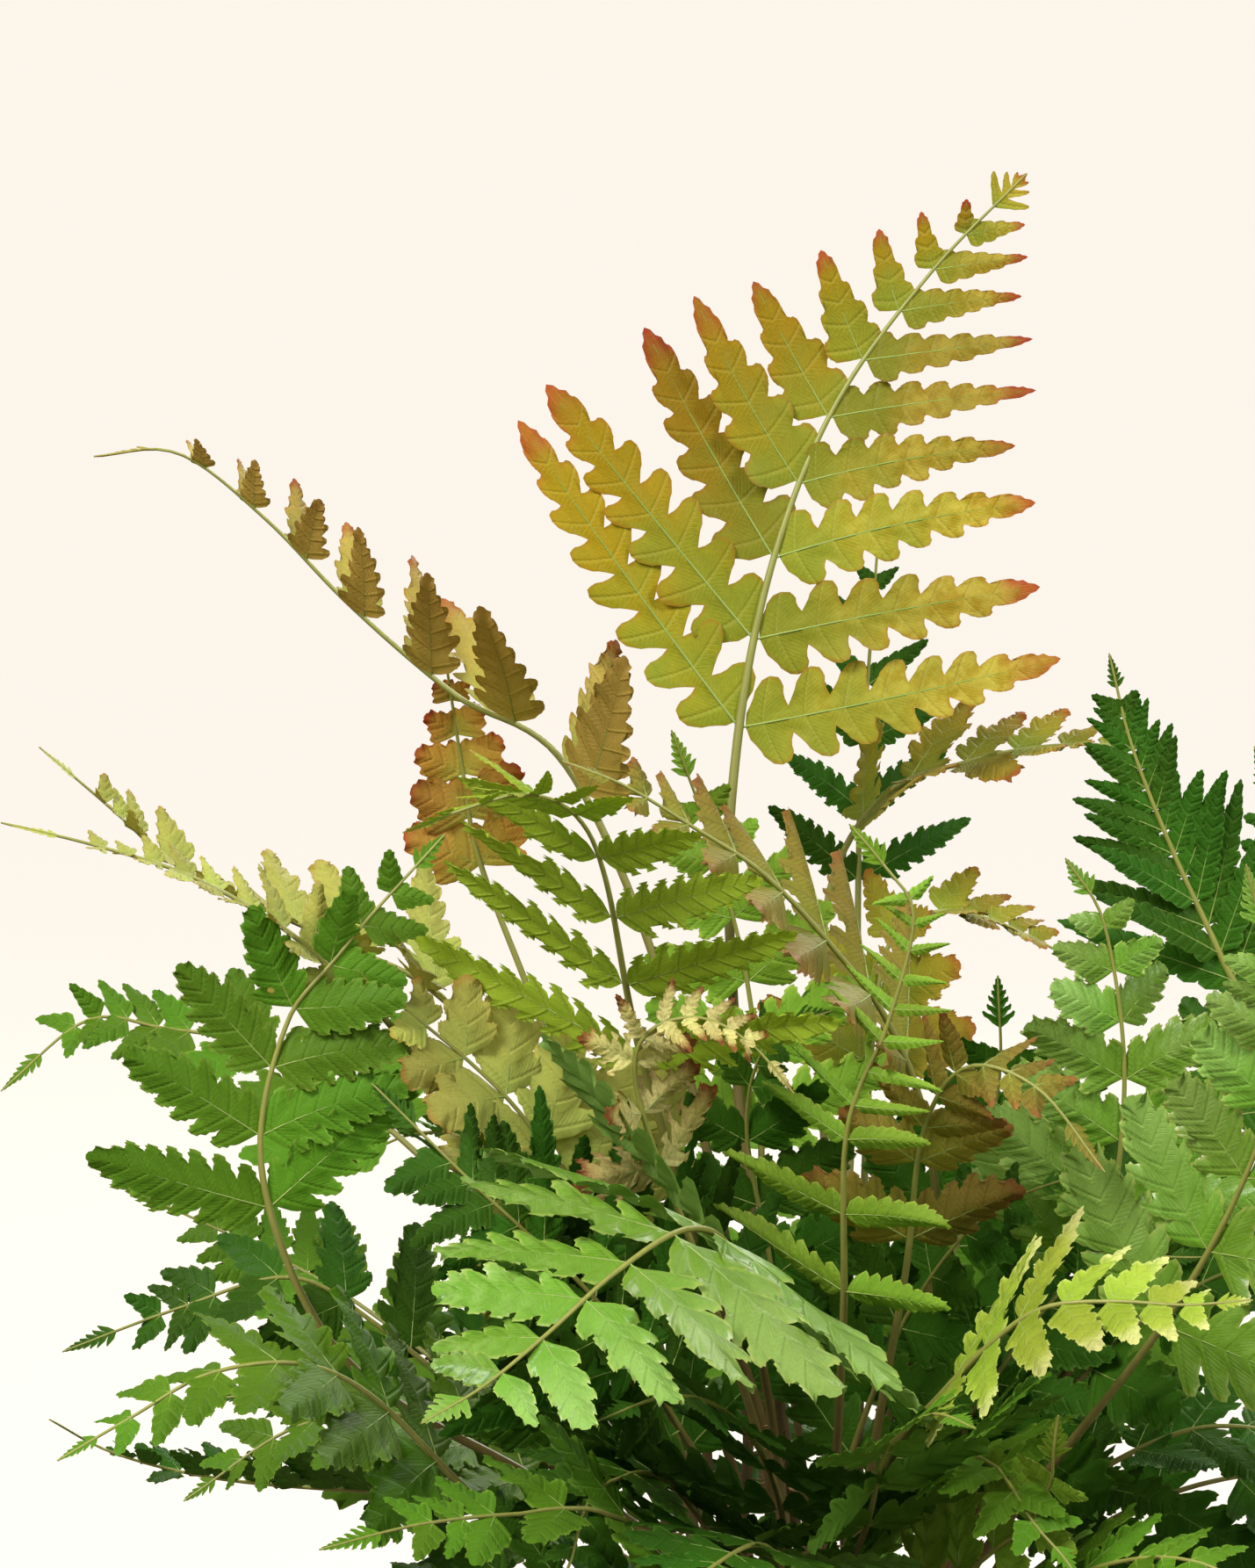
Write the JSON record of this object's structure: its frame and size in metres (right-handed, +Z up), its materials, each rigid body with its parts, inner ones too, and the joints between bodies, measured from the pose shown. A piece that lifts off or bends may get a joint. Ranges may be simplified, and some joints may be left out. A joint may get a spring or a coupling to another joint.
{
  "type": "potted fern",
  "caption": "Fern with arching divided fronds, copper when young and green when grown, standing in compost in a round tapered clay pot.",
  "frame": {"origin": "centre of the pot's flat base, on the surface it stands on", "axes": "+Z up along the pot's axis, -Y towards the plant's front, +X to the right seen from the front"},
  "size_m": [0.47, 0.515, 0.602],
  "materials": {
    "clay": "matte unglazed clay",
    "compost": "loose dark compost",
    "crown": "brown papery scales",
    "copper_leaf": "soft young leaf, satin",
    "olive_leaf": "soft young leaf, satin",
    "lime_leaf": "new leaf, satin",
    "green_leaf": "grown leaf, glossy",
    "dark_leaf": "grown leaf, glossy"
  },
  "bodies": {
    "root": {"pot": "clay", "soil": "compost", "rootstock": "crown", "copper_tall": "olive_leaf", "copper_left_high": "copper_leaf", "copper_left_small": "copper_leaf", "copper_left_low": "olive_leaf", "copper_left_tip": "olive_leaf", "lime_front": "lime_leaf", "copper_front": "copper_leaf", "copper_right": "olive_leaf", "green_back_thin": "dark_leaf", "green_right_upright": "dark_leaf", "green_right_edge": "dark_leaf", "green_right_glossy": "green_leaf", "green_right_near": "green_leaf", "lime_slender": "lime_leaf", "green_front_glossy": "green_leaf", "lime_right_front": "lime_leaf", "green_left": "green_leaf", "green_left_low": "green_leaf", "green_left_bottom": "dark_leaf", "green_front_left": "green_leaf", "green_front_bottom": "dark_leaf", "green_left_far": "green_leaf", "green_left_behind": "green_leaf", "green_left_behind_low": "dark_leaf", "copper_unfurling": "copper_leaf", "copper_pale_left": "olive_leaf", "green_dark_left": "dark_leaf", "green_right_low": "lime_leaf", "green_right_bottom": "green_leaf", "green_right_far": "green_leaf", "green_right_mid": "dark_leaf", "green_right_wide": "dark_leaf", "green_middle": "dark_leaf", "lime_middle": "lime_leaf", "green_middle_right": "dark_leaf", "green_front_middle": "dark_leaf", "green_front_right": "green_leaf", "green_right_back": "dark_leaf", "green_left_under": "dark_leaf", "green_left_mid": "dark_leaf", "copper_droop": "copper_leaf", "green_right_inner": "dark_leaf", "olive_right_back": "olive_leaf", "green_back_left": "green_leaf", "green_back": "green_leaf", "green_back_right": "dark_leaf", "green_back_right_low": "green_leaf", "green_back_low": "dark_leaf", "green_back_left_low": "dark_leaf", "low_front_left": "dark_leaf", "low_front_right": "green_leaf", "low_middle_left": "dark_leaf", "low_middle_right": "dark_leaf", "low_left": "green_leaf", "low_right": "dark_leaf", "low_back_left": "dark_leaf", "low_back_right": "green_leaf"}
  },
  "joints": []
}
